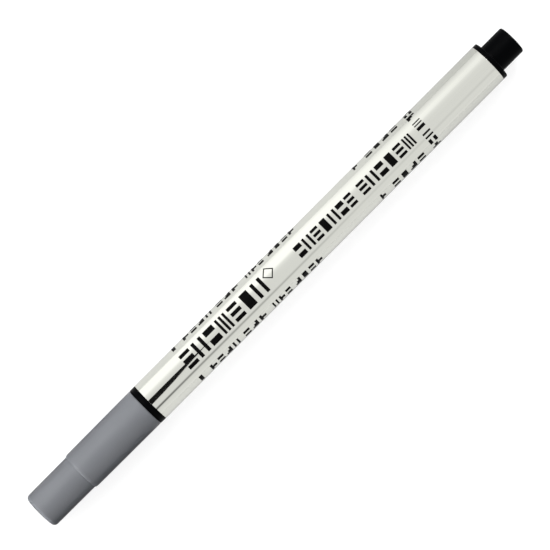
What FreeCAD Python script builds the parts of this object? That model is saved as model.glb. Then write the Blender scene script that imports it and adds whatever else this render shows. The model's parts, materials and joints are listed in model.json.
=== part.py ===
import FreeCAD, Part
import math
import os

# A refill for a twist or push pen: metal ink tube, moulded nose with a steel
# writing tip, moulded tail plug and a push-on protective cap.
# All dimensions are millimetres. The tube lies along X with its tip towards -X,
# resting on the ground plane, and the origin is below the middle of its length.

# ---- driving dimensions -------------------------------------------------
TUBE_OD = 6.70
TUBE_WALL = 0.22
TUBE_LENGTH = 71.20
TUBE_EDGE = 0.05            # broken outer edge of the cut tube

COLLAR_THICK = 1.10         # nose flange, seen as a ring between tube and cap
COLLAR_R = 3.33
FLANGE_THICK = 0.80         # tail plug flange
FLANGE_R = 3.33
STUB_LENGTH = 4.40          # tail stub behind the flange
STUB_R = 2.40

CAP_LARGE_LENGTH = 13.60    # cap mouth to its outer step
CAP_SMALL_LENGTH = 8.50     # outer step to the closed end
CAP_MOUTH_R = 3.32
CAP_STEP_R = 3.25
CAP_SMALL_R = 3.07
CAP_END_R = 3.03
CAP_END_ROUND = 0.50
CAP_END_WALL = 0.80
CAP_BORE_R = 2.75           # bore round the nose's grip
CAP_RIB_R = 2.63            # crests of the ribs that hold the cap on
CAP_RIBS = 6
CAP_RIB_WIDTH = 0.50
CAP_CONE = 0.60             # length of the cone between the two bores
CAP_NARROW_R = 2.35         # bore round the neck and tip
SEAL_THICK = 0.60

GRIP_LENGTH = 7.00          # stretch of the nose that the cap grips
GRIP_R = 2.50
BEAD_R = 2.60
SHOULDER_R = 2.20           # flat shoulder a pen's spring rests on
NECK_R = 1.70
NECK_END_R = 1.65
NOSE_LENGTH = 13.10         # collar to the front face of the nose
TIP_LENGTH = 7.50           # steel tip standing out of the nose
TIP_R = 1.175
TIP_CYLINDER = 4.20
SHANK_R = 1.00
SHANK_LENGTH = 4.00

BALL_R = 0.30
BALL_CLEARANCE = 0.015
BALL_STANDOUT = 0.15        # how far the ball stands proud of its lip

NOSE_PLUG_LENGTH = 6.50     # spigots pressed into the tube
TAIL_PLUG_LENGTH = 5.00
PLUG_R = 3.06

WICK_R = 0.80
WICK_BORE_R = 0.85
PIN_R = 0.30
FIBRE_R = 2.95
FILM_THICK = 0.10
VENT_R = 0.50

# ---- stations along X ---------------------------------------------------
TOTAL = (STUB_LENGTH + FLANGE_THICK + TUBE_LENGTH + COLLAR_THICK
         + CAP_LARGE_LENGTH + CAP_SMALL_LENGTH)
X_STUB = TOTAL / 2
X_FLANGE = X_STUB - STUB_LENGTH
X_TUBE_REAR = X_FLANGE - FLANGE_THICK
X_TUBE_FRONT = X_TUBE_REAR - TUBE_LENGTH
X_MOUTH = X_TUBE_FRONT - COLLAR_THICK
X_STEP = X_MOUTH - CAP_LARGE_LENGTH
X_CAP_END = X_STEP - CAP_SMALL_LENGTH
X_SHOULDER = X_MOUTH - GRIP_LENGTH
X_NOSE = X_MOUTH - NOSE_LENGTH
X_BALL = X_NOSE - TIP_LENGTH + BALL_R
X_LIP = X_BALL - BALL_R + BALL_STANDOUT
TUBE_R = TUBE_OD / 2
BORE_R = TUBE_R - TUBE_WALL
AXIS_Z = TUBE_R


def vec(x, r):
    return FreeCAD.Vector(x, 0, r)


def turned(profile):
    """Solid of revolution about the pen's axis.

    A profile point is (x, r), or (x, r, mid_x, mid_r) for an arc that ends there.
    """
    edges = []
    count = len(profile)
    for i in range(count):
        start = vec(*profile[i][:2])
        point = profile[(i + 1) % count]
        end = vec(*point[:2])
        if len(point) == 4:
            edges.append(Part.Arc(start, vec(*point[2:]), end).toShape())
        else:
            edges.append(Part.makeLine(start, end))
    face = Part.Face(Part.Wire(edges))
    solid = face.revolve(FreeCAD.Vector(0, 0, 0), FreeCAD.Vector(1, 0, 0), 360)
    return lifted(solid)


def lifted(shape):
    shape.translate(FreeCAD.Vector(0, 0, AXIS_Z))
    return shape


def rod(x0, x1, r):
    shape = Part.makeCylinder(r, x1 - x0, FreeCAD.Vector(x0, 0, 0), FreeCAD.Vector(1, 0, 0))
    return lifted(shape)


def ball(x, r):
    shape = Part.makeSphere(r, FreeCAD.Vector(x, 0, 0))
    return lifted(shape)


def bars(count, x0, x1, r0, r1, width, first=0.0):
    """Straight bars lying along X, spread round the axis between two radii."""
    made = []
    for i in range(count):
        box = Part.makeBox(x1 - x0, width, r1 - r0, FreeCAD.Vector(x0, -width / 2, r0))
        box.rotate(FreeCAD.Vector(0, 0, 0), FreeCAD.Vector(1, 0, 0), first + i * 360.0 / count)
        made.append(lifted(box))
    return made


# ---- ink tube -----------------------------------------------------------
def make_tube():
    e = TUBE_EDGE
    return turned([
        (X_TUBE_FRONT, BORE_R),
        (X_TUBE_FRONT, TUBE_R - e),
        (X_TUBE_FRONT + e, TUBE_R),
        (X_TUBE_REAR - e, TUBE_R),
        (X_TUBE_REAR, TUBE_R - e),
        (X_TUBE_REAR, BORE_R),
    ])


def beads(x, width, base, crest):
    """Profile points of one low sealing bead, in order of rising x."""
    return [
        (x - width / 2, base),
        (x - width / 6, crest),
        (x + width / 6, crest),
        (x + width / 2, base),
    ]


# ---- nose: collar, grip, shoulder and neck, with a plug inside the tube ----
def make_nose():
    x_plug = X_TUBE_FRONT + NOSE_PLUG_LENGTH
    x_step = X_NOSE + SHANK_LENGTH
    e = 0.12
    outer = [
        (X_NOSE, SHANK_R),
        (X_NOSE, NECK_END_R - 0.20),
        (X_NOSE + 0.20, NECK_END_R, X_NOSE + 0.06, NECK_END_R - 0.06),
        (X_SHOULDER - 0.15, NECK_R),
        (X_SHOULDER, NECK_R + 0.15, X_SHOULDER - 0.044, NECK_R + 0.044),
        (X_SHOULDER, SHOULDER_R),
        (X_SHOULDER + 0.40, GRIP_R),
    ]
    outer += beads(X_SHOULDER + 1.30, 1.00, GRIP_R, BEAD_R)
    outer += beads(X_MOUTH - 1.60, 1.00, GRIP_R, BEAD_R)
    outer += [
        (X_MOUTH, GRIP_R),
        (X_MOUTH, COLLAR_R - e),
        (X_MOUTH + e, COLLAR_R, X_MOUTH + 0.035, COLLAR_R - 0.035),
        (X_TUBE_FRONT - 0.06, COLLAR_R),
        (X_TUBE_FRONT, COLLAR_R - 0.06),
        (X_TUBE_FRONT, PLUG_R),
    ]
    for i in range(3):
        outer += beads(X_TUBE_FRONT + 1.4 + 1.8 * i, 0.90, PLUG_R, BORE_R)
    outer += [
        (x_plug - 0.5, PLUG_R),
        (x_plug, PLUG_R - 0.30),
        (x_plug, WICK_BORE_R + 0.20),
        (x_plug - 0.20, WICK_BORE_R),
        (x_step, WICK_BORE_R),
        (x_step, SHANK_R),
    ]
    body = turned(outer)
    grooves = bars(3, x_step + 0.6, x_plug + 0.5, WICK_BORE_R - 0.10, WICK_BORE_R + 0.15, 0.30)
    return body.cut(Part.makeCompound(grooves)).Solids[0]


# ---- steel writing tip --------------------------------------------------
def make_tip():
    x_rear = X_NOSE + SHANK_LENGTH
    x_cone = X_NOSE - TIP_CYLINDER
    socket_r = BALL_R + BALL_CLEARANCE
    drop = X_BALL - X_LIP
    lip_r = math.sqrt(socket_r ** 2 - drop ** 2)
    feed_r = 0.18
    back = math.sqrt(socket_r ** 2 - feed_r ** 2)
    bore_r = PIN_R + 0.06
    return turned([
        (X_LIP, lip_r, X_BALL, socket_r),
        (X_LIP, lip_r + 0.06),
        (X_LIP + 0.45, 0.50),
        (X_LIP + 0.75, 0.60),
        (X_LIP + 1.35, 0.64),
        (x_cone - 0.12, TIP_R - 0.06),
        (x_cone, TIP_R),
        (X_NOSE - 0.25, TIP_R),
        (X_NOSE, TIP_R + 0.10, X_NOSE - 0.05, TIP_R + 0.06),
        (X_NOSE, SHANK_R),
        (x_rear - 0.20, SHANK_R),
        (x_rear, SHANK_R - 0.15),
        (x_rear, bore_r + 0.10),
        (x_rear - 0.15, bore_r),
        (X_BALL + 1.15, bore_r),
        (X_BALL + 0.95, feed_r),
        (X_BALL + back, feed_r),
    ])


def make_ball():
    return ball(X_BALL, BALL_R)


def make_feed_pin():
    x0 = X_BALL + 1.25
    x1 = X_NOSE + SHANK_LENGTH + 1.75
    return turned([
        (x0, 0), (x0, 0.12), (x0 + 0.25, PIN_R), (x1 - 0.4, PIN_R), (x1, 0.10), (x1, 0),
    ])


# ---- ink path: wick, fibre reservoir and its film wrap ------------------------
def make_wick():
    x0 = X_NOSE + SHANK_LENGTH
    x1 = X_TUBE_FRONT + NOSE_PLUG_LENGTH + 5.0
    wick = rod(x0, x1, WICK_R)
    socket = rod(x0 - 0.5, x0 + 1.80, PIN_R)
    return wick.cut(socket).Solids[0]


def make_fibre():
    x0 = X_TUBE_FRONT + NOSE_PLUG_LENGTH + 0.5
    x1 = X_TUBE_REAR - TAIL_PLUG_LENGTH
    depth = 4.5
    e = 0.15
    return turned([
        (x0, WICK_R), (x0, FIBRE_R - e), (x0 + e, FIBRE_R), (x1 - e, FIBRE_R),
        (x1, FIBRE_R - e), (x1, 0), (x0 + depth, 0), (x0 + depth, WICK_R),
    ])


def make_film():
    x0 = X_TUBE_FRONT + NOSE_PLUG_LENGTH + 1.0
    x1 = X_TUBE_REAR - TAIL_PLUG_LENGTH - 0.5
    outer = FIBRE_R + FILM_THICK
    return turned([(x0, FIBRE_R), (x0, outer), (x1, outer), (x1, FIBRE_R)])


# ---- tail plug ----------------------------------------------------------
def make_tail():
    x_in = X_TUBE_REAR - TAIL_PLUG_LENGTH
    profile = [
        (x_in, 2.50),
        (x_in, PLUG_R - 0.25),
        (x_in + 0.40, PLUG_R),
    ]
    for i in range(2):
        profile += beads(x_in + 1.5 + 1.8 * i, 0.90, PLUG_R, BORE_R)
    profile += [
        (X_TUBE_REAR, PLUG_R),
        (X_TUBE_REAR, FLANGE_R - 0.05),
        (X_TUBE_REAR + 0.05, FLANGE_R),
        (X_FLANGE - 0.14, FLANGE_R),
        (X_FLANGE, FLANGE_R - 0.14, X_FLANGE - 0.041, FLANGE_R - 0.041),
        (X_FLANGE, STUB_R + 0.25),
        (X_FLANGE + 0.25, STUB_R, X_FLANGE + 0.073, STUB_R + 0.073),
        (X_STUB - 0.25, STUB_R),
        (X_STUB, STUB_R - 0.25, X_STUB - 0.073, STUB_R - 0.073),
        (X_STUB, VENT_R + 0.15),
        (X_STUB - 0.15, VENT_R),
        (X_TUBE_REAR - 0.85, VENT_R),
        (X_TUBE_REAR - 0.85, 2.20),
        (X_TUBE_REAR - 1.15, 2.50, X_TUBE_REAR - 0.938, 2.412),
    ]
    return turned(profile)


# ---- protective cap and the soft disc in its end --------------------------
def make_cap():
    x_inner = X_CAP_END + CAP_END_WALL
    k = CAP_END_ROUND * (1 - math.sqrt(0.5))
    s = 0.14
    profile = [
        (X_CAP_END, 0),
        (X_CAP_END, CAP_END_R - CAP_END_ROUND),
        (X_CAP_END + CAP_END_ROUND, CAP_END_R, X_CAP_END + k, CAP_END_R - k),
        (X_STEP, CAP_SMALL_R),
        (X_STEP + s, CAP_STEP_R, X_STEP + 0.035, CAP_STEP_R - 0.045),
        (X_MOUTH - 0.10, CAP_MOUTH_R),
        (X_MOUTH, CAP_MOUTH_R - 0.10, X_MOUTH - 0.029, CAP_MOUTH_R - 0.029),
        (X_MOUTH, CAP_BORE_R + 0.20),
        (X_MOUTH - 0.30, CAP_BORE_R),
        (X_SHOULDER - 0.80, CAP_BORE_R),
        (X_SHOULDER - 0.80 - CAP_CONE, CAP_NARROW_R),
        (x_inner, CAP_NARROW_R),
        (x_inner, 0),
    ]
    shell = turned(profile)
    ribs = bars(CAP_RIBS, X_SHOULDER + 0.2, X_MOUTH - 0.8, CAP_RIB_R - 0.2, CAP_BORE_R + 0.2, CAP_RIB_WIDTH)
    sleeve = rod(X_SHOULDER, X_MOUTH, CAP_BORE_R + 0.1).cut(rod(X_SHOULDER, X_MOUTH, CAP_RIB_R))
    ribs = [rib.common(sleeve) for rib in ribs]
    return shell.fuse(ribs).removeSplitter().Solids[0]


def make_seal():
    x0 = X_CAP_END + CAP_END_WALL
    e = 0.10
    r = CAP_NARROW_R
    return turned([
        (x0, 0), (x0, r), (x0 + SEAL_THICK - e, r), (x0 + SEAL_THICK, r - e), (x0 + SEAL_THICK, 0),
    ])


PARTS = {
    "barrel_tube": make_tube,
    "nose_holder": make_nose,
    "tip_body": make_tip,
    "writing_ball": make_ball,
    "tip_feed_pin": make_feed_pin,
    "feed_wick": make_wick,
    "reservoir_fibre": make_fibre,
    "reservoir_film": make_film,
    "tail_plug": make_tail,
    "cap_shell": make_cap,
    "cap_seal": make_seal,
}

os.makedirs("parts", exist_ok=True)
for name, make in PARTS.items():
    shape = make()
    if not shape.isValid() or len(shape.Solids) != 1:
        raise SystemExit("%s is not one valid solid" % name)
    shape.exportStep("parts/" + name + ".step")
    box = shape.optimalBoundingBox()
    print("%-16s volume %8.2f mm3  x %7.3f..%7.3f  y %6.3f..%6.3f  z %6.3f..%6.3f" % (
        name, shape.Volume, box.XMin, box.XMax, box.YMin, box.YMax, box.ZMin, box.ZMax))
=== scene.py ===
# %% [markdown]
# # A rollerball refill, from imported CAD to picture
# The real object is a metal ink tube with a moulded nose and tail plug, a steel
# writing tip, and a push-on cap. The CAD model already fixes every size and every
# joint. This notebook loads it, rebuilds the round pieces with finer meshes in
# the same places, gives each one its finish, and lights it like a catalogue page.

# %% Load the CAD model as a fixed frame
import json
import math

import bmesh
import bpy
from mathutils import Matrix, Vector


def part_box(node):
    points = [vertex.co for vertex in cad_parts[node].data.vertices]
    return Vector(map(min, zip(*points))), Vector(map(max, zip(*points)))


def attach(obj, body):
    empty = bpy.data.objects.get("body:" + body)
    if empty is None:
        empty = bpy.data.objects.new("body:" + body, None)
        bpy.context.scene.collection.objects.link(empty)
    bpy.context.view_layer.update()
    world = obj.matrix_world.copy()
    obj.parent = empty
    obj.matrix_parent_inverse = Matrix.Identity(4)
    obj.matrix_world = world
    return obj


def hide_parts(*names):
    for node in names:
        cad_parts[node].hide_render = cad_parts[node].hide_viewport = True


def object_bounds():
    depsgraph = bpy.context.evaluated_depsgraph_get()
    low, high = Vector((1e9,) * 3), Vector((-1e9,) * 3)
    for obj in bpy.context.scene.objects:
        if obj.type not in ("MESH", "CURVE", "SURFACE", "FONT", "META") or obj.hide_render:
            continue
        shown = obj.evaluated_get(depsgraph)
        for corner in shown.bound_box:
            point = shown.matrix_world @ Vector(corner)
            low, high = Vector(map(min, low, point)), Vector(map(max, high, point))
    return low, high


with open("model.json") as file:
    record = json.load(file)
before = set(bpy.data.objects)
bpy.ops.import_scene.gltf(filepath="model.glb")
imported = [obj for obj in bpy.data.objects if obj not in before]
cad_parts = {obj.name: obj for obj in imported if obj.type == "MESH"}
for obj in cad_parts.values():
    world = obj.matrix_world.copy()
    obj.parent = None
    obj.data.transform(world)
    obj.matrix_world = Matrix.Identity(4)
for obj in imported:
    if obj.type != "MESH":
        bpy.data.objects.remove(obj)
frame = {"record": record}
cad_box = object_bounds()
MM = 0.001
print("CAD box in mm:", [[round(v / MM, 2) for v in corner] for corner in cad_box])

# %% [markdown]
# ## Stations
# Every piece is round about one line, so a handful of places along that line
# describe the whole object. They are read from the CAD boxes and mounts, in
# millimetres, so the finer pieces follow the CAD parts.


# %% Read the stations from the CAD nodes
def along(node):
    """Where a CAD node starts and ends along the refill, in millimetres."""
    low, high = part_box(node)
    return low.x / MM, high.x / MM


def mount(name):
    """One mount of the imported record."""
    return next(m for m in frame["record"]["mounts"] if m["name"] == name)


TUBE_FRONT, TUBE_REAR = along("barrel_tube")
CAP_END, MOUTH = along("cap_shell")
NOSE_FRONT, PLUG_REAR = along("nose_holder")
LIP, SHANK_REAR = along("tip_body")
TAIL_IN, STUB_END = along("tail_plug")
TUBE_R = mount("barrel_od")["dims"]["r_mm"]
TIP_R = mount("tip_guide")["dims"]["r_mm"]
STUB_R = mount("tail_stub")["dims"]["r_mm"]
SHOULDER = mount("spring_seat")["pos_m"][0] / MM
AXIS_Z = mount("barrel_od")["pos_m"][2]
BALL_X = sum(along("writing_ball")) / 2
stations = (CAP_END, LIP, MOUTH, TUBE_FRONT, TUBE_REAR, STUB_END)
print("stations in mm:", [round(x, 2) for x in stations])

# %% [markdown]
# ## Turning a profile
# A lathe makes real versions of these pieces, and a mould for a round part is
# turned too. Blender's lathe is **spin**: half of the section is drawn as a
# loop of edges and swept round the axis. The corners are softened first, in the
# flat, with a vertex bevel, so every rim catches a thin line of light.

# %% The lathe
AROUND = 128
CORNER_STEPS = 4
SHARP_ANGLE = math.radians(40)
WELD = 1e-7


def soften(bm, corners):
    """Rounds the outline's corners: corners maps a vertex to its radius in mm."""
    for vert, radius in corners.items():
        bmesh.ops.bevel(bm, geom=[vert], offset=radius * MM, offset_type="OFFSET", affect="VERTICES",
                        segments=CORNER_STEPS, profile=0.5, material=-1)


def finished(name, bm):
    """Turns a bmesh into an object at the origin, smooth where it is round."""
    bmesh.ops.remove_doubles(bm, verts=bm.verts[:], dist=WELD)
    bmesh.ops.recalc_face_normals(bm, faces=bm.faces[:])
    mesh = bpy.data.meshes.new(name)
    bm.to_mesh(mesh)
    bm.free()
    mesh.shade_smooth()
    mesh.set_sharp_from_angle(angle=SHARP_ANGLE)
    piece = bpy.data.objects.new(name, mesh)
    bpy.context.scene.collection.objects.link(piece)
    even = piece.modifiers.new("even_normals", "WEIGHTED_NORMAL")
    even.keep_sharp = True
    return piece


def turned(name, outline, steps=AROUND):
    """Spins an outline of (x, r) or (x, r, corner radius) points in mm about the axis."""
    bm = bmesh.new()
    verts = [bm.verts.new((point[0] * MM, 0, point[1] * MM)) for point in outline]
    for first, second in zip(verts, verts[1:]):
        bm.edges.new((first, second))
    if outline[0][1] > 0:
        bm.edges.new((verts[-1], verts[0]))
    soften(bm, {v: point[2] for v, point in zip(verts, outline) if len(point) > 2})
    bmesh.ops.spin(bm, geom=bm.verts[:] + bm.edges[:], cent=(0, 0, 0), axis=(1, 0, 0),
                   angle=math.tau, steps=steps, use_merge=True)
    bmesh.ops.translate(bm, verts=bm.verts[:], vec=(0, 0, AXIS_Z))
    piece = finished(name, bm)
    print(f"{name}: {len(piece.data.polygons)} faces")
    return piece

# %% [markdown]
# ## The ink tube
# The real tube is drawn from thin stainless steel and cut to length, so it is one
# even wall with the cut edges barely broken. Its section is a thin rectangle, and
# turning it gives the bore and both cut faces at once.

# %% Turn the tube
TUBE_WALL = 0.22
BORE_R = TUBE_R - TUBE_WALL
CUT_EDGE = 0.012

tube = turned("tube_metal", [
    (TUBE_FRONT, BORE_R),
    (TUBE_FRONT, TUBE_R, CUT_EDGE),
    (TUBE_REAR, TUBE_R, CUT_EDGE),
    (TUBE_REAR, BORE_R),
])
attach(tube, "refill")
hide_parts("barrel_tube")

# %% [markdown]
# ## The nose
# One moulding does four jobs: a beaded plug that seals the tube, the collar ring
# that shows between tube and cap, a fatter stretch that the cap grips, and a
# neck that carries the steel tip. Its section is long but simple, so it is
# drawn once, from the front face round to the bore.

# %% Turn the nose
PLUG_R = 3.06
COLLAR_R = 3.33
GRIP_R = 2.50
BEAD_R = 2.60
SHOULDER_R = 2.20
NECK_R = 1.70
SHANK_R = 1.00
WICK_BORE_R = 0.85
BEAD_FOOT = 0.06
BEAD_TOP = 0.08
GRIP_BEAD = 1.00
SEAL_BEAD = 0.90
SEAL_PITCH = 1.80


def bead(x, width, base, crest):
    """Outline points of one low, rounded bead, a third as wide at its top as at its foot."""
    return [(x - width / 2, base, BEAD_FOOT), (x - width / 6, crest, BEAD_TOP),
            (x + width / 6, crest, BEAD_TOP), (x + width / 2, base, BEAD_FOOT)]


nose_outline = [
    (NOSE_FRONT, SHANK_R),
    (NOSE_FRONT, NECK_R - 0.05, 0.20),
    (SHOULDER, NECK_R, 0.15),
    (SHOULDER, SHOULDER_R, 0.05),
    (SHOULDER + 0.40, GRIP_R, 0.10),
    *bead(SHOULDER + 1.30, GRIP_BEAD, GRIP_R, BEAD_R),
    *bead(MOUTH - 1.60, GRIP_BEAD, GRIP_R, BEAD_R),
    (MOUTH, GRIP_R, 0.08),
    (MOUTH, COLLAR_R, 0.12),
    (TUBE_FRONT, COLLAR_R, 0.06),
    (TUBE_FRONT, PLUG_R),
]
for i in range(3):
    nose_outline += bead(TUBE_FRONT + 1.4 + SEAL_PITCH * i, SEAL_BEAD, PLUG_R, BORE_R)
nose_outline += [
    (PLUG_REAR, PLUG_R - 0.05, 0.30),
    (PLUG_REAR, WICK_BORE_R, 0.15),
    (SHANK_REAR, WICK_BORE_R),
    (SHANK_REAR, SHANK_R),
]
nose = turned("nose_moulding", nose_outline)
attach(nose, "refill")
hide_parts("nose_holder")

# %% [markdown]
# ## The writing tip and its ball
# The tip is turned from nickel silver or steel on a tiny lathe: a straight guide,
# a long cone, a short nose and a lip rolled over the ball. The ball is a separate
# piece on its own body, because it really rolls.

# %% Turn the tip and make the ball
BALL_R = 0.30
SOCKET_PLAY = 0.015
SOCKET_R = BALL_R + SOCKET_PLAY
SOCKET_ARC = 10
FEED_R = 0.18
TIP_BORE_R = 0.36
CONE_REAR = NOSE_FRONT - 4.20
STOP_R = TIP_R + 0.10


def socket_outline():
    """Points of the round seat behind the ball, from the feed hole out to the lip."""
    start = math.asin(FEED_R / SOCKET_R)
    stop = math.acos((LIP - BALL_X) / SOCKET_R)
    turns = [start + (stop - start) * i / SOCKET_ARC for i in range(SOCKET_ARC + 1)]
    return [(BALL_X + SOCKET_R * math.cos(a), SOCKET_R * math.sin(a)) for a in turns]


tip = turned("tip_turned", [
    *socket_outline(),
    (LIP, 0.335, 0.02),
    (LIP + 0.45, 0.50),
    (LIP + 0.75, 0.60, 0.10),
    (LIP + 1.35, 0.64, 0.10),
    (CONE_REAR - 0.05, TIP_R - 0.03, 0.15),
    (CONE_REAR + 0.10, TIP_R, 0.10),
    (NOSE_FRONT - 0.27, TIP_R),
    (NOSE_FRONT - 0.22, STOP_R, 0.04),
    (NOSE_FRONT, STOP_R, 0.04),
    (NOSE_FRONT, SHANK_R),
    (SHANK_REAR, SHANK_R, 0.15),
    (SHANK_REAR, TIP_BORE_R, 0.08),
    (BALL_X + 1.15, TIP_BORE_R),
    (BALL_X + 0.95, FEED_R),
])
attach(tip, "refill")
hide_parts("tip_body")

bm = bmesh.new()
bmesh.ops.create_uvsphere(bm, u_segments=64, v_segments=32, radius=BALL_R * MM,
                          matrix=Matrix.Translation((BALL_X * MM, 0, AXIS_Z)))
ball = finished("ball_carbide", bm)
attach(ball, "ball")
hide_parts("writing_ball")

# %% [markdown]
# ## The ink path inside
# None of this shows while the refill is whole: a pin that feeds the ball, a wick
# through the nose, and the fibre rod in its film wrap. They are still real
# pieces, so each keeps its own section and finish for anyone who cuts it open.

# %% Turn the inner pieces
PIN_R = 0.30
WICK_R = 0.80
FIBRE_R = 2.95
FILM_R = 3.05
PIN_DEPTH = 1.80
WICK_DEPTH = 4.50
PIN_FRONT, PIN_REAR = along("tip_feed_pin")
WICK_FRONT, WICK_REAR = along("feed_wick")
FIBRE_FRONT, FIBRE_REAR = along("reservoir_fibre")
FILM_FRONT, FILM_REAR = along("reservoir_film")

pin = turned("feed_pin", [
    (PIN_FRONT, 0),
    (PIN_FRONT, 0.12, 0.03),
    (PIN_FRONT + 0.25, PIN_R, 0.05),
    (PIN_REAR - 0.4, PIN_R, 0.1),
    (PIN_REAR, 0.10, 0.03),
    (PIN_REAR, 0),
], steps=48)
wick = turned("wick", [
    (WICK_FRONT + PIN_DEPTH, 0),
    (WICK_FRONT + PIN_DEPTH, PIN_R),
    (WICK_FRONT, PIN_R),
    (WICK_FRONT, WICK_R, 0.05),
    (WICK_REAR, WICK_R, 0.05),
    (WICK_REAR, 0),
], steps=64)
fibre = turned("reservoir_rod", [
    (FIBRE_FRONT + WICK_DEPTH, 0),
    (FIBRE_FRONT + WICK_DEPTH, WICK_R),
    (FIBRE_FRONT, WICK_R),
    (FIBRE_FRONT, FIBRE_R, 0.15),
    (FIBRE_REAR, FIBRE_R, 0.15),
    (FIBRE_REAR, 0),
], steps=96)
film = turned("reservoir_wrap", [
    (FILM_FRONT, FIBRE_R),
    (FILM_FRONT, FILM_R),
    (FILM_REAR, FILM_R),
    (FILM_REAR, FIBRE_R),
], steps=96)

ink_path = (
    (pin, "tip_feed_pin", "feed_plastic"),
    (wick, "feed_wick", "wick_fibre"),
    (fibre, "reservoir_fibre", "ink_fibre"),
    (film, "reservoir_film", "wrap_film"),
)
for piece, node, slot in ink_path:
    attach(piece, "refill")
    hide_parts(node)

# %% [markdown]
# ## The tail plug
# A moulded plug closes the tube. Its flange is as wide as the tube and the stub
# behind it is what a pen's mechanism pushes on. A fine hole lets air in as the
# ink goes down, so the section goes round the outside and back along that hole.

# %% Turn the tail plug
FLANGE_R = 3.33
FLANGE_REAR = TUBE_REAR + 0.80
PLUG_HOLLOW_R = 2.50
VENT_R = 0.50
CROWN_R = 1.60
HOLLOW_END = TUBE_REAR - 0.85

tail_outline = [
    (TAIL_IN, PLUG_HOLLOW_R, 0.05),
    (TAIL_IN, PLUG_R - 0.05, 0.25),
]
for i in range(2):
    tail_outline += bead(TAIL_IN + 1.5 + SEAL_PITCH * i, SEAL_BEAD, PLUG_R, BORE_R)
tail_outline += [
    (TUBE_REAR, PLUG_R),
    (TUBE_REAR, FLANGE_R, 0.05),
    (FLANGE_REAR, FLANGE_R, 0.14),
    (FLANGE_REAR, STUB_R, 0.25),
    (STUB_END - 0.08, STUB_R, 0.25),
    (STUB_END, CROWN_R, 0.40),
    (STUB_END, VENT_R, 0.15),
    (HOLLOW_END, VENT_R),
    (HOLLOW_END, PLUG_HOLLOW_R, 0.30),
]
tail = turned("tail_moulding", tail_outline)
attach(tail, "refill")
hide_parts("tail_plug")

# %% [markdown]
# ## The cap
# The cap keeps the ball from drying out on the shelf. It tapers a little so that
# it leaves its mould, steps down once, and is closed at the end, where the mould's
# gate leaves a small round recess. Inside are six low ribs that grip the nose and
# a soft disc that meets the ball.

# %% Turn the cap and add its ribs and disc
CAP_STEP = CAP_END + 8.50
CAP_MOUTH_R = 3.32
CAP_STEP_R = 3.25
CAP_SMALL_R = 3.07
CAP_END_R = 3.03
CAP_BORE_R = 2.75
CAP_NARROW_R = 2.35
CAP_RIB_R = 2.63
CAP_FLOOR = CAP_END + 0.80
GATE_R = 0.55
GATE_DEPTH = 0.08

cap = turned("cap_moulding", [
    (CAP_END + GATE_DEPTH, 0),
    (CAP_END + GATE_DEPTH, GATE_R - 0.05, 0.03),
    (CAP_END, GATE_R, 0.05),
    (CAP_END, CAP_END_R, 0.65),
    (CAP_STEP - 0.02, CAP_SMALL_R, 0.02),
    (CAP_STEP + 0.06, CAP_SMALL_R + 0.10, 0.05),
    (CAP_STEP + 0.34, CAP_STEP_R, 0.20),
    (MOUTH, CAP_MOUTH_R, 0.12),
    (MOUTH, CAP_BORE_R + 0.15, 0.04),
    (MOUTH - 0.30, CAP_BORE_R, 0.10),
    (SHOULDER - 0.80, CAP_BORE_R, 0.10),
    (SHOULDER - 1.40, CAP_NARROW_R, 0.10),
    (CAP_FLOOR, CAP_NARROW_R, 0.15),
    (CAP_FLOOR, 0),
])
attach(cap, "cap")
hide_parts("cap_shell")

RIB_COUNT = 6
RIB_WIDTH = 0.50
RIB_SINK = 0.10
RIB_EDGE = 0.03
RIB_FRONT = SHOULDER + 0.2
RIB_REAR = MOUTH - 0.8
RIB_FOOT_R = CAP_BORE_R + RIB_SINK

rib_size = ((RIB_REAR - RIB_FRONT) * MM, RIB_WIDTH * MM, (RIB_FOOT_R - CAP_RIB_R) * MM)
rib_middle = ((RIB_FRONT + RIB_REAR) / 2 * MM, 0, (RIB_FOOT_R + CAP_RIB_R) / 2 * MM)
bm = bmesh.new()
for i in range(RIB_COUNT):
    turn = Matrix.Rotation(math.tau * i / RIB_COUNT, 4, "X")
    place = turn @ Matrix.Translation(rib_middle) @ Matrix.Diagonal((*rib_size, 1))
    bmesh.ops.create_cube(bm, size=1, matrix=place)
bmesh.ops.bevel(bm, geom=bm.edges[:], offset=RIB_EDGE * MM, affect="EDGES",
                segments=2, profile=0.5, material=-1)
bmesh.ops.translate(bm, verts=bm.verts[:], vec=(0, 0, AXIS_Z))
ribs = finished("cap_ribs", bm)
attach(ribs, "cap")

SEAL_FRONT, SEAL_REAR = along("cap_seal")
SEAL_R = CAP_NARROW_R - 0.01
disc = turned("cap_disc", [
    (SEAL_FRONT, 0),
    (SEAL_FRONT, SEAL_R, 0.12),
    (SEAL_REAR, SEAL_R, 0.12),
    (SEAL_REAR, 0),
], steps=96)
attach(disc, "cap")
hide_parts("cap_seal")

# %% [markdown]
# ## The print on the tube
# The real tube is pad printed in black. Here the print says nothing: rows of plain
# bars stand where words would be, in the same sizes and places. Each bar is a thin
# slab of ink with a real thickness. It starts flat, as a small grid, and is then
# wrapped round the tube, so it follows the metal exactly.

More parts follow.
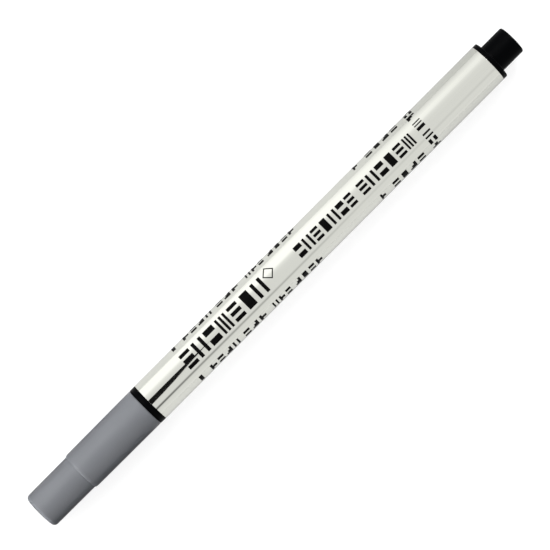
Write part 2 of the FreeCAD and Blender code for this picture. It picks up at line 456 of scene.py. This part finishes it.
# %% Lay out the bars and wrap them
INK_PROUD = 0.012
INK_SINK = 0.010
BEND_STEP = 0.16
BOLD_GAP = 0.22
SMALL_GAP = 0.28
BOLD_CORNER = 0.05
SMALL_CORNER = 0.03
GLYPHS = {
    "rungs": ((0, 0.0, 1, 0.22), (0, 0.39, 1, 0.61), (0, 0.78, 1, 1.0)),
    "pair": ((0, 0, 0.30, 1), (0.70, 0, 1, 1)),
    "posts": ((0, 0, 0.22, 1), (0.39, 0, 0.61, 1), (0.78, 0, 1, 1)),
    "slabs": ((0, 0, 1, 0.36), (0, 0.64, 1, 1)),
    "block": ((0.1, 0, 0.9, 1),),
    "stair": ((0, 0, 1, 0.34), (0.28, 0.34, 1, 0.66), (0.62, 0.66, 1, 1)),
    "notch": ((0, 0, 0.38, 1), (0.38, 0.30, 1, 0.70)),
}


def row(start, stop, base, height, glyphs, gap):
    """Bars (x0, s0, x1, s1) in mm for a row of glyphs; s runs round the tube, towards +Y."""
    pitch = (stop - start) / (len(glyphs) - gap)
    width = pitch * (1 - gap)
    bars = []
    for i, name in enumerate(glyphs):
        left = start + i * pitch
        bars += [(left + x0 * width, base + s0 * height, left + x1 * width, base + s1 * height)
                 for x0, s0, x1, s1 in GLYPHS[name]]
    return bars


def wrapped(name, bm):
    """Gives a flat print drawn in (x, s) millimetres its thickness, and wraps it round the tube."""
    slab = bmesh.ops.extrude_face_region(bm, geom=bm.faces[:])
    raised = [g for g in slab["geom"] if isinstance(g, bmesh.types.BMVert)]
    bmesh.ops.translate(bm, verts=raised, vec=(0, 0, INK_PROUD + INK_SINK))
    for vert in bm.verts:
        x, s, depth = vert.co
        r = TUBE_R - INK_SINK + depth
        vert.co = (x * MM, r * math.sin(s / TUBE_R) * MM, AXIS_Z + r * math.cos(s / TUBE_R) * MM)
    piece = finished(name, bm)
    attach(piece, "refill")
    return piece


def printed(name, bars, corner):
    """Thin slabs of ink with rounded corners, one per bar, wrapped round the tube."""
    bm = bmesh.new()
    for x0, s0, x1, s1 in bars:
        steps = max(1, math.ceil((s1 - s0) / BEND_STEP))
        middle = Matrix.Translation(((x0 + x1) / 2, (s0 + s1) / 2, 0))
        size = Matrix.Diagonal((x1 - x0, s1 - s0, 1, 1))
        bmesh.ops.create_grid(bm, x_segments=1, y_segments=steps, size=0.5, matrix=middle @ size)
    rim = [v for v in bm.verts if len(v.link_edges) == 2]
    bmesh.ops.bevel(bm, geom=rim, offset=corner, affect="VERTICES",
                    segments=2, profile=0.5, material=-1)
    print(f"{name}: {len(bars)} bars")
    return wrapped(name, bm)


BOLD_BASE = -0.88
BOLD_TALL = 2.75
BOLD_LOW = 2.05
BOLD_WORDS = (
    (-18.9, -2.15, BOLD_TALL, ("rungs", "pair", "slabs", "posts", "rungs", "block", "pair")),
    (4.4, 16.3, BOLD_LOW, ("slabs", "pair", "rungs", "block", "pair", "slabs", "rungs")),
    (17.55, 28.6, BOLD_LOW, ("rungs", "pair", "slabs", "block", "rungs", "posts")),
)
bold = [bar for start, stop, height, glyphs in BOLD_WORDS
        for bar in row(start, stop, BOLD_BASE, height, glyphs, BOLD_GAP)]
print_bold = printed("print_bold", bold, BOLD_CORNER)

# %% [markdown]
# Two lines of small print run along the flanks, and one more short line runs
# round the tube near its tail. The rows are built in the same way; the one that
# goes round swaps its two directions.

# %% The small print
SMALL_HEIGHT = 1.50
SMALL_WORDS = (
    (-19.0, -18.2, ("block",)),
    (-16.6, -10.7, ("notch", "slabs", "stair", "pair")),
    (-9.6, -5.1, ("slabs", "stair", "notch")),
    (-3.5, 0.2, ("pair", "notch", "slabs")),
    (1.1, 6.65, ("stair", "block", "slabs", "notch")),
    (19.15, 20.05, ("notch",)),
    (21.75, 28.3, ("slabs", "block", "stair", "slabs")),
)
LOW_BASE = -4.28
HIGH_BASE = 3.40
small = [bar for base in (LOW_BASE, HIGH_BASE) for start, stop, glyphs in SMALL_WORDS
         for bar in row(start, stop, base, SMALL_HEIGHT, glyphs, SMALL_GAP)]
print_small = printed("print_small", small, SMALL_CORNER)

RING_X = 29.90
RING_WORDS = (
    (-4.3, -0.6, ("notch", "slabs", "pair")),
    (0.1, 1.6, ("block", "pair")),
    (2.4, 6.6, ("stair", "slabs", "notch", "pair")),
)
ring = [(RING_X + s0, x0, RING_X + s1, x1) for start, stop, glyphs in RING_WORDS
        for x0, s0, x1, s1 in row(start, stop, 0, SMALL_HEIGHT, glyphs, SMALL_GAP)]
print_ring = printed("print_ring", ring, SMALL_CORNER)

# %% [markdown]
# A small mark follows the first bold row. Here it is a plain diamond outline: a
# four-sided disc, cut finely so that it can bend, inset, with its middle taken out.

# %% The diamond
MARK_AT = (-0.72, 1.20)
MARK_R = 1.10
MARK_LINE = 0.17
MARK_CUTS = 7

bm = bmesh.new()
bmesh.ops.create_circle(bm, cap_ends=True, radius=MARK_R, segments=4)
bmesh.ops.subdivide_edges(bm, edges=bm.edges[:], cuts=MARK_CUTS)
middle = bm.faces[:]
bmesh.ops.inset_region(bm, faces=middle, thickness=MARK_LINE,
                       use_even_offset=True, use_boundary=True)
bmesh.ops.delete(bm, geom=middle, context="FACES_ONLY")
bmesh.ops.delete(bm, geom=[v for v in bm.verts if not v.link_faces], context="VERTS")
bmesh.ops.translate(bm, verts=bm.verts[:], vec=(*MARK_AT, 0))
print_mark = wrapped("print_mark", bm)

# %% [markdown]
# ## Finishes
# Each finish is a node material. What several finishes share is a node group: a
# fine moulded skin for the plastics, and fine tool lines for the metals. The
# groups read object coordinates in metres, so a scale of 1000 is a millimetre.


# %% Helpers for node trees
def add(tree, kind, inputs=None, **settings):
    """Adds one node. An input given a socket is linked to it; any other value is set."""
    node = tree.nodes.new(kind)
    for key, value in settings.items():
        setattr(node, key, value)
    for key, value in (inputs or {}).items():
        if isinstance(value, bpy.types.NodeSocket):
            tree.links.new(value, node.inputs[key])
        else:
            node.inputs[key].default_value = value
    return node


def calc(tree, operation, first, second=0.0):
    """The result of one Math node."""
    return add(tree, "ShaderNodeMath", {0: first, 1: second}, operation=operation).outputs[0]


def group_with(name, inputs, outputs):
    """A new shader group with named sockets, and its input and output nodes."""
    group = bpy.data.node_groups.new(name, "ShaderNodeTree")
    for label, kind, value in inputs:
        group.interface.new_socket(label, in_out="INPUT", socket_type=kind).default_value = value
    for label, kind in outputs:
        group.interface.new_socket(label, in_out="OUTPUT", socket_type=kind)
    return group, group.nodes.new("NodeGroupInput"), group.nodes.new("NodeGroupOutput")


# %% [markdown]
# A moulded plastic skin has a very fine grain from the mould and is a little
# duller where it has been handled. Two noises do that: a fine one for the height
# and a broad one that shifts roughness and colour by a few hundredths.

# %% The moulded skin group
SKIN_WEAR = 260.0
SKIN_INPUTS = (
    ("Colour", "NodeSocketColor", (0.5, 0.5, 0.5, 1)),
    ("Grain", "NodeSocketFloat", 12000.0),
    ("Roughness", "NodeSocketFloat", 0.4),
    ("Handling", "NodeSocketFloat", 0.08),
)
SURFACE_OUTPUTS = (
    ("Colour", "NodeSocketColor"),
    ("Roughness", "NodeSocketFloat"),
    ("Height", "NodeSocketFloat"),
)


def around_middle(tree, value, spread):
    """value, which runs 0 to 1, turned into minus to plus half of spread."""
    return calc(tree, "MULTIPLY", calc(tree, "SUBTRACT", value, 0.5), spread)


def shaded(tree, colour, amount):
    """colour made lighter or darker by amount."""
    value = calc(tree, "ADD", 1.0, amount)
    return add(tree, "ShaderNodeHueSaturation", {"Value": value, "Color": colour}).outputs["Color"]


def moulded_skin():
    """Fine mould grain for the height, and broad wear that shifts colour and roughness."""
    group, given, out = group_with("moulded_skin", SKIN_INPUTS, SURFACE_OUTPUTS)
    where = add(group, "ShaderNodeTexCoord").outputs["Object"]
    grain = add(group, "ShaderNodeTexNoise", {
        "Vector": where, "Scale": given.outputs["Grain"], "Detail": 3.0})
    broad = add(group, "ShaderNodeTexNoise", {
        "Vector": where, "Scale": SKIN_WEAR, "Detail": 4.0, "Roughness": 0.6})
    wear = around_middle(group, broad.outputs["Fac"], given.outputs["Handling"])
    group.links.new(shaded(group, given.outputs["Colour"], wear), out.inputs["Colour"])
    group.links.new(calc(group, "ADD", given.outputs["Roughness"], wear), out.inputs["Roughness"])
    group.links.new(grain.outputs["Fac"], out.inputs["Height"])
    return group


SKIN = moulded_skin()

# %% [markdown]
# Metal keeps the marks of how it was made. Drawing a tube leaves lines along
# it, and turning a tip leaves rings round it. One group does both: a noise that
# is squeezed hard along one direction and left long along the other.

# %% The tool lines group
METAL_WEAR = 180.0
LINE_SPREAD = 0.04
SMOOTHEST = 0.02
LINE_INPUTS = (
    ("Colour", "NodeSocketColor", (0.6, 0.6, 0.6, 1)),
    ("Squeeze", "NodeSocketVector", (60.0, 9000.0, 9000.0)),
    ("Roughness", "NodeSocketFloat", 0.1),
    ("Handling", "NodeSocketFloat", 0.05),
)


def tool_lines():
    """Lines left by drawing or turning, in the colour, the roughness and the height."""
    group, given, out = group_with("tool_lines", LINE_INPUTS, SURFACE_OUTPUTS)
    where = add(group, "ShaderNodeTexCoord").outputs["Object"]
    squeezed = add(group, "ShaderNodeMapping", {"Vector": where, "Scale": given.outputs["Squeeze"]})
    lines = add(group, "ShaderNodeTexNoise", {
        "Vector": squeezed.outputs[0], "Scale": 1.0, "Detail": 4.0})
    broad = add(group, "ShaderNodeTexNoise", {"Vector": where, "Scale": METAL_WEAR, "Detail": 3.0})
    wear = around_middle(group, broad.outputs["Fac"], given.outputs["Handling"])
    fine = around_middle(group, lines.outputs["Fac"], LINE_SPREAD)
    group.links.new(shaded(group, given.outputs["Colour"], fine), out.inputs["Colour"])
    rough = calc(group, "ADD", calc(group, "ADD", given.outputs["Roughness"], wear), fine)
    group.links.new(calc(group, "MAXIMUM", rough, SMOOTHEST), out.inputs["Roughness"])
    group.links.new(lines.outputs["Fac"], out.inputs["Height"])
    return group


LINES = tool_lines()


# %% A material from a surface group
def surface(name, group, colour, roughness, handling, depth, pattern=None, **shader_values):
    """A Principled material whose colour, roughness and bump come from a group. depth is in metres."""
    material = bpy.data.materials.new(name)
    material.use_nodes = True
    tree = material.node_tree
    tree.nodes.clear()
    values = {"Colour": (*colour, 1), "Roughness": roughness, "Handling": handling, **(pattern or {})}
    skin = add(tree, "ShaderNodeGroup", values, node_tree=group)
    bump = add(tree, "ShaderNodeBump", {
        "Height": skin.outputs["Height"], "Distance": depth, "Strength": 1.0})
    sockets = {key.replace("_", " "): value for key, value in shader_values.items()}
    shader = add(tree, "ShaderNodeBsdfPrincipled", {
        "Base Color": skin.outputs["Colour"], "Roughness": skin.outputs["Roughness"],
        "Normal": bump.outputs["Normal"], **sockets})
    add(tree, "ShaderNodeOutputMaterial", {"Surface": shader.outputs[0]})
    return material


# %% [markdown]
# The colours come from what each thing is: stainless steel is a slightly warm
# grey mirror, the cap is a cool grey satin plastic, and the black mouldings are
# nearly as dark as plastic gets, with only their edges catching light.

# %% Make the finishes and put them on
FINISHES = {
    "drawn_steel": dict(
        group=LINES, colour=(0.66, 0.665, 0.615), roughness=0.030, handling=0.02, depth=5e-8,
        Metallic=1.0),
    "turned_steel": dict(
        group=LINES, colour=(0.60, 0.585, 0.54), roughness=0.20, handling=0.06, depth=8e-7,
        pattern={"Squeeze": (16000.0, 20.0, 20.0)}, Metallic=1.0),
    "black_moulding": dict(
        group=SKIN, colour=(0.0008, 0.0009, 0.0012), roughness=0.34, handling=0.06, depth=1.2e-6,
        Specular_IOR_Level=0.022),
    "grey_moulding": dict(
        group=SKIN, colour=(0.1375, 0.1435, 0.1555), roughness=0.42, handling=0.04, depth=2.0e-6,
        pattern={"Grain": 9000.0}, Specular_IOR_Level=0.38),
    "pad_ink": dict(
        group=SKIN, colour=(0.0010, 0.0010, 0.0010), roughness=0.45, handling=0.10, depth=1.5e-6,
        pattern={"Grain": 20000.0}, Specular_IOR_Level=0.04),
    "hard_metal": dict(
        group=LINES, colour=(0.30, 0.30, 0.31), roughness=0.16, handling=0.08, depth=1e-7,
        pattern={"Squeeze": (7000.0, 7000.0, 7000.0)}, Metallic=1.0),
    "nylon": dict(
        group=SKIN, colour=(0.62, 0.61, 0.56), roughness=0.55, handling=0.06, depth=1e-6),
    "inked_fibre": dict(
        group=LINES, colour=(0.020, 0.024, 0.045), roughness=0.85, handling=0.10, depth=2e-5,
        pattern={"Squeeze": (120.0, 16000.0, 16000.0)}),
    "clear_film": dict(
        group=SKIN, colour=(0.62, 0.65, 0.68), roughness=0.22, handling=0.06, depth=5e-7),
    "soft_rubber": dict(
        group=SKIN, colour=(0.46, 0.46, 0.44), roughness=0.75, handling=0.10, depth=3e-6),
}
worn_by = {
    "drawn_steel": (tube,),
    "turned_steel": (tip,),
    "black_moulding": (nose, tail),
    "grey_moulding": (cap, ribs),
    "pad_ink": (print_bold, print_small, print_ring, print_mark),
    "hard_metal": (ball,),
    "nylon": (pin,),
    "inked_fibre": (wick, fibre),
    "clear_film": (film,),
    "soft_rubber": (disc,),
}
for name, look in FINISHES.items():
    finish = surface(name, **look)
    for piece in worn_by[name]:
        piece.data.materials.append(finish)
print("finishes:", ", ".join(FINISHES))

# %% [markdown]
# ## The stage
# Polished metal shows the room, so the room is designed. The refill lies on a
# white table under an arch of light. What the arch shows along its angle is what
# the tube shows across its width: a brighter band low on one side, an even
# white overhead, and a thin dim seam on the other side. The band and the seam
# drift a few degrees round the arch on their way to the tail, and both fade there.
#
# The table is white to the eye, but what it lends to other things is set apart
# from that: its glow carries a painted contact shadow, weaker close under the
# refill, and under and round the cap it is painted nearly black in glow and
# colour, a painted shade so that the cap keeps a darker lower side. Two panels
# close the ends of the arch. They light the cap and the tail plug, and polished
# metal sees them as plain wall.


# %% Helpers for the set
def on_stage(name, bm, material, seen=False):
    """A mesh that belongs to the set and not to the refill, hidden from the eye unless seen."""
    mesh = bpy.data.meshes.new(name)
    bm.to_mesh(mesh)
    bm.free()
    mesh.materials.append(material)
    thing = bpy.data.objects.new(name, mesh)
    thing.visible_camera = seen
    bpy.context.scene.collection.objects.link(thing)


def plain(name, tone):
    """A flat matt grey for the set."""
    material = bpy.data.materials.new(name)
    material.use_nodes = True
    shader = material.node_tree.nodes["Principled BSDF"]
    shader.inputs["Base Color"].default_value = (tone, tone, tone, 1)
    shader.inputs["Roughness"].default_value = 0.9
    shader.inputs["Specular IOR Level"].default_value = 0.1
    return material


def ranged(tree, value, start, stop, first=0.0, last=1.0):
    """value mapped from start..stop to first..last, and held at the ends."""
    spots = {"Value": value, "From Min": start, "From Max": stop, "To Min": first, "To Max": last}
    return add(tree, "ShaderNodeMapRange", spots).outputs[0]


def place_in(tree):
    """The X, Y and Z of the shaded point, in metres in the shared frame."""
    where = add(tree, "ShaderNodeTexCoord").outputs["Object"]
    split = add(tree, "ShaderNodeSeparateXYZ", {0: where})
    return [split.outputs[axis] for axis in "XYZ"]


def grey_ramp(tree, value, stops):
    """The colour of a ramp with grey stops (position, tone)."""
    node = add(tree, "ShaderNodeValToRGB", {"Fac": value})
    points = node.color_ramp.elements
    while len(points) < len(stops):
        points.new(0.5)
    for point, (position, tone) in zip(points, stops):
        point.position = position
        point.color = (tone, tone, tone, 1)
    return node.outputs["Color"]


# %% [markdown]
# The light on the set is made of ramps. A ramp with two numbers says where it starts
# and stops; one with four also gives its values there. Places are in metres, and
# angles round the arch are in degrees from straight up, towards -Y.

# %% The table
TABLE_HALF = 3.0
TABLE_TONE = 0.25
TABLE_SHOWN = 0.82
# Painted shade: under and round the cap, the table's colour and glow are darkened for everything but the
# eye, so the cap has a darker lower side.
PAINTED_SHADE_TONE = 0.03
PAINTED_SHADE_END = (MOUTH - 0.4) * MM
PAINTED_SHADE_EDGE = (PAINTED_SHADE_END - 0.0015, PAINTED_SHADE_END)
PAINTED_SHADE_SIDE = (0.050, 0.070)
# Painted contact shadow: the table's glow is weaker close to the line of the refill.
PAINTED_CONTACT_SHADOW = (0.004, 0.009, 0.70, 1.0)
GLOW_NEAR = (-0.025, -0.002, 0.57, 0.51)
GLOW_FAR = 0.42
UNDER_LINE = (-0.002, 0.002)
GLOW_MIDDLE = 0.65
TOWARDS_TAIL = (0.015, 0.045)


def table_top():
    """White to the eye. What it lends to other things falls towards the tail, has a painted contact
    shadow close under the refill, and is gone by the cap. Under and round the cap the colour is darkened
    too, as painted shade.
    """
    material = plain("white_table", TABLE_TONE)
    tree = material.node_tree
    shader = tree.nodes["Principled BSDF"]
    x, y, _ = place_in(tree)
    off_line = calc(tree, "ABSOLUTE", y)
    at_tail = ranged(tree, y, *UNDER_LINE, ranged(tree, y, *GLOW_NEAR), GLOW_FAR)
    glow = ranged(tree, x, *TOWARDS_TAIL, GLOW_MIDDLE, at_tail)
    # Mask of the painted shade: 0 under and round the cap, 1 over the rest of the table.
    outside_painted_shade = calc(tree, "MAXIMUM", ranged(tree, off_line, *PAINTED_SHADE_SIDE), ranged(tree, x, *PAINTED_SHADE_EDGE))
    # Painted contact shadow in the glow, close under the refill.
    glow = calc(tree, "MULTIPLY", glow, ranged(tree, off_line, *PAINTED_CONTACT_SHADOW))
    glow = calc(tree, "MULTIPLY", glow, outside_painted_shade)
    eye = add(tree, "ShaderNodeLightPath").outputs["Is Camera Ray"]
    # Painted shade: under the cap, the colour is darkened for everything but the eye.
    tone = ranged(tree, calc(tree, "MAXIMUM", outside_painted_shade, eye), 0.0, 1.0, PAINTED_SHADE_TONE, TABLE_TONE)
    shown = calc(tree, "MULTIPLY", eye, TABLE_SHOWN)
    tree.links.new(tone, shader.inputs["Base Color"])
    tree.links.new(calc(tree, "MAXIMUM", glow, shown), shader.inputs["Emission Strength"])
    return material


bm = bmesh.new()
bmesh.ops.create_grid(bm, x_segments=1, y_segments=1, size=TABLE_HALF)
on_stage("table", bm, table_top(), seen=True)

# %% What the arch shows
ARCH_LIGHT = (
    (-90, 1.40), (-80, 1.56), (-52, 1.56), (-43, 1.45), (-36, 1.22),
    (-28, 1.09), (-18, 1.02), (0, 0.99), (72, 1.00), (90, 1.10),
)
SEAM_AT = 49.2
SEAM_HALF = 9.0
SEAM = ((-90, 0), (SEAM_AT - SEAM_HALF, 0), (SEAM_AT, 1), (SEAM_AT + SEAM_HALF, 0), (90, 0))
SEAM_DEPTH = (-0.055, 0.05, 0.78, 0.13)
SEAM_DEEPER = (-0.055, -0.036, 0.18, 0.0)
TO_MIDDLE = (-0.04, 0.01)
TO_TAIL = (0.03, 0.10)
BAND_DRIFT = (7.5, 3.5)
SEAM_DRIFT = (2.5, -4.5)
BAND_FADE = (0.03, 0.11, 1.0, 0.50)
LOW_SIDE = (-88.0, -58.0, 1.0, 0.0)


def ramp_over_angle(tree, angle, stops):
    """A grey ramp over the arch's angle in degrees; values are halved, as a ramp holds 0 to 1."""
    halved = [((degrees + 90) / 180, value / 2) for degrees, value in stops]
    return calc(tree, "MULTIPLY", grey_ramp(tree, ranged(tree, angle, -90.0, 90.0), halved), 2.0)


def drifted(tree, angle, x, middle, tail):
    """The angle less the degrees that a feature has moved round by the middle and by the tail."""
    first = ranged(tree, x, *TO_MIDDLE, 0.0, middle)
    second = ranged(tree, x, *TO_TAIL, 0.0, tail - middle)
    return calc(tree, "SUBTRACT", angle, calc(tree, "ADD", first, second))


def band_light(tree, angle, x):
    """The arch without its seam. What is over white fades towards the tail, and first low down."""
    light = ramp_over_angle(tree, drifted(tree, angle, x, *BAND_DRIFT), ARCH_LIGHT)
    low_rear = calc(tree, "MULTIPLY", ranged(tree, x, *TO_TAIL), ranged(tree, angle, *LOW_SIDE))
    fade = calc(tree, "MULTIPLY", ranged(tree, x, *BAND_FADE), calc(tree, "SUBTRACT", 1.0, low_rear))
    over_white = calc(tree, "MAXIMUM", calc(tree, "SUBTRACT", light, 1.0), 0.0)
    return calc(tree, "ADD", calc(tree, "MINIMUM", light, 1.0), calc(tree, "MULTIPLY", over_white, fade))


def seam_shade(tree, angle, x):
    """What the seam takes away: most of the light near the cap, little near the tail."""
    seam = ramp_over_angle(tree, drifted(tree, angle, x, *SEAM_DRIFT), SEAM)
    depth = calc(tree, "ADD", ranged(tree, x, *SEAM_DEPTH), ranged(tree, x, *SEAM_DEEPER))
    return calc(tree, "MULTIPLY", seam, depth)


def arch_light():
    """Light whose strength depends on the angle round the refill and the place along it."""
    material = bpy.data.materials.new("arch_light")
    material.use_nodes = True
    tree = material.node_tree
    tree.nodes.clear()
    x, y, z = place_in(tree)
    up = calc(tree, "SUBTRACT", z, AXIS_Z)
    side = calc(tree, "MULTIPLY", y, -1.0)
    angle = calc(tree, "DEGREES", calc(tree, "ARCTAN2", side, up))
    strength = calc(tree, "SUBTRACT", band_light(tree, angle, x), seam_shade(tree, angle, x))
    glow = add(tree, "ShaderNodeEmission", {"Strength": strength})
    add(tree, "ShaderNodeOutputMaterial", {"Surface": glow.outputs[0]})
    return material


# %% The arch and the panels that close its ends
ARCH_R = 0.75
ARCH_STEPS = 40
ARCH_PANELS = {
    "arch_low": (-90, -56, -0.075, 0.15),
    "arch_wide": (-56, 12, -0.70, 0.70),
    "arch_narrow": (12, 90, -0.085, 0.16),
}


def arch_panel(name, start, stop, front, rear, material):
    """Part of the arch between two angles and between two places in X."""
    bm = bmesh.new()
    ends = [bm.verts.new((x, 0, ARCH_R)) for x in (front, rear)]
    edge = bm.edges.new(ends)
    bmesh.ops.rotate(bm, verts=ends, cent=(0, 0, 0), matrix=Matrix.Rotation(math.radians(start), 3, "X"))
    bmesh.ops.spin(bm, geom=[*ends, edge], cent=(0, 0, 0), axis=(1, 0, 0),
                   angle=math.radians(stop - start), steps=ARCH_STEPS)
    bmesh.ops.translate(bm, verts=bm.verts[:], vec=(0, 0, AXIS_Z))
    on_stage(name, bm, material)


arch_glow = arch_light()
for name, (start, stop, front, rear) in ARCH_PANELS.items():
    arch_panel(name, start, stop, front, rear, arch_glow)

END_X = 0.74
END_SIZE = (0.25, 0.8, 1)
END_MIDDLE = (0.15, 0.145)
END_PANELS = {"panel_cap_end": (-1, 17.0), "panel_tail_end": (1, 5.0)}
MIRRORED = 1.3


def end_light(name, strength):
    """Strong as a lamp, but no brighter than the arch when something polished shows it."""
    material = plain(name, 0)
    tree = material.node_tree
    shown = add(tree, "ShaderNodeLightPath").outputs["Is Glossy Ray"]
    tree.links.new(ranged(tree, shown, 0.0, 1.0, strength, MIRRORED),
                   tree.nodes["Principled BSDF"].inputs["Emission Strength"])
    return material


for name, (side, strength) in END_PANELS.items():
    bm = bmesh.new()
    flat = bmesh.ops.create_grid(bm, x_segments=1, y_segments=1, size=0.5)["verts"]
    bmesh.ops.scale(bm, verts=flat, vec=END_SIZE)
    bmesh.ops.rotate(bm, verts=flat, cent=(0, 0, 0), matrix=Matrix.Rotation(math.radians(90), 3, "Y"))
    bmesh.ops.translate(bm, verts=flat, vec=(side * END_X, *END_MIDDLE))
    on_stage(name, bm, end_light(name, strength))

# %% [markdown]
# A black card hangs over the cap end. It is the dark line that runs along the
# tube from the collar: without something dark to reflect, metal looks like white
# paint. Two soft lamps stand off to the ends, where the tube can't mirror them
# into the lens, and shape the plastic.

# %% The black card and the two lamps
CARD_Z = 0.65
CARD_TONE = 0.004
CARD_OUTLINE = (
    (-0.0245, 0.050), (-0.033, 0.115), (-0.038, 0.135), (-0.044, 0.139), (-0.200, 0.142),
    (-0.200, -0.280), (-0.060, -0.206), (-0.0512, -0.170), (-0.0479, -0.160), (-0.0446, -0.134),
    (-0.0413, -0.114), (-0.0379, -0.072), (-0.034, -0.024),
)
bm = bmesh.new()
bm.faces.new([bm.verts.new((x, y, CARD_Z)) for x, y in CARD_OUTLINE])
on_stage("black_card", bm, plain("black_card", CARD_TONE))

LAMP_SIZE = 0.36
LAMPS = {
    "lamp_cap_end": ((-0.38, 0.36, 0.50), 1.7),
    "lamp_tail_end": ((0.52, 0.40, 0.60), 7.0),
}
for name, (place, watts) in LAMPS.items():
    light = bpy.data.lights.new(name, "AREA")
    light.size = LAMP_SIZE
    light.energy = watts
    lamp = bpy.data.objects.new(name, light)
    lamp.location = place
    lamp.rotation_euler = Vector(place).to_track_quat("Z", "Y").to_euler()
    lamp.visible_camera = False
    bpy.context.scene.collection.objects.link(lamp)

# %% [markdown]
# The room beyond the set is white to the eye and dim as a lamp. Anything polished
# sees pale grey walls instead, brightest a little above the level of the table.

# %% The room
ROOM_COLOUR = (0.9, 0.95, 1.0, 1)
ROOM_STRENGTH = 0.08
WALL_TONES = ((0.0, 0.22), (0.10, 0.45), (0.30, 0.92), (0.65, 0.80), (1.0, 0.45))

scene = bpy.context.scene
scene.view_settings.view_transform = "Standard"
world = bpy.data.worlds.new("room")
scene.world = world
world.use_nodes = True
tree = world.node_tree
tree.nodes.clear()
seen = add(tree, "ShaderNodeBackground", {"Color": (1, 1, 1, 1), "Strength": 1.0})
room = add(tree, "ShaderNodeBackground", {"Color": ROOM_COLOUR, "Strength": ROOM_STRENGTH})
direction = add(tree, "ShaderNodeTexCoord").outputs["Generated"]
height = add(tree, "ShaderNodeSeparateXYZ", {0: direction}).outputs["Z"]
walls = grey_ramp(tree, height, WALL_TONES)
mirrored = add(tree, "ShaderNodeBackground", {"Color": walls, "Strength": 1.0})
path = add(tree, "ShaderNodeLightPath")
unseen = add(tree, "ShaderNodeMixShader", {
    0: path.outputs["Is Glossy Ray"], 1: room.outputs[0], 2: mirrored.outputs[0]})
mix = add(tree, "ShaderNodeMixShader", {
    0: path.outputs["Is Camera Ray"], 1: unseen.outputs[0], 2: seen.outputs[0]})
add(tree, "ShaderNodeOutputWorld", {"Surface": mix.outputs[0]})

# %% [markdown]
# ## The camera
# A long lens looks down, turned so that the refill lies from one corner of the
# picture to the other. It stands over a place a few millimetres nearer the cap
# than the middle and aims at the middle, so it is a hair off straight down.

# %% Place the camera
LENS = 230.0
SENSOR = 36.0
PICTURE_SHARE = 0.8225
PICTURE = PICTURE_SHARE * (cad_box[1][0] - cad_box[0][0])
AIM_AT = (-0.00013, 0.00021)
STANDS_AT = -0.0056
TURN = math.radians(45.09)

camera_data = bpy.data.cameras.new("camera")
camera_data.lens = LENS
camera_data.sensor_width = SENSOR
camera = bpy.data.objects.new("camera", camera_data)
scene.collection.objects.link(camera)
scene.camera = camera

aim = Vector((*AIM_AT, AXIS_Z))
spot = aim + Vector((STANDS_AT, 0, PICTURE * LENS / SENSOR))
forward = (aim - spot).normalized()
right = forward.cross(Vector((math.sin(TURN), math.cos(TURN), 0))).normalized()
turn = Matrix((right, right.cross(forward), -forward)).transposed()
camera.matrix_world = Matrix.Translation(spot) @ turn.to_4x4()
print(f"camera {spot.z:.3f} m up, picture {PICTURE / MM:.1f} mm wide")
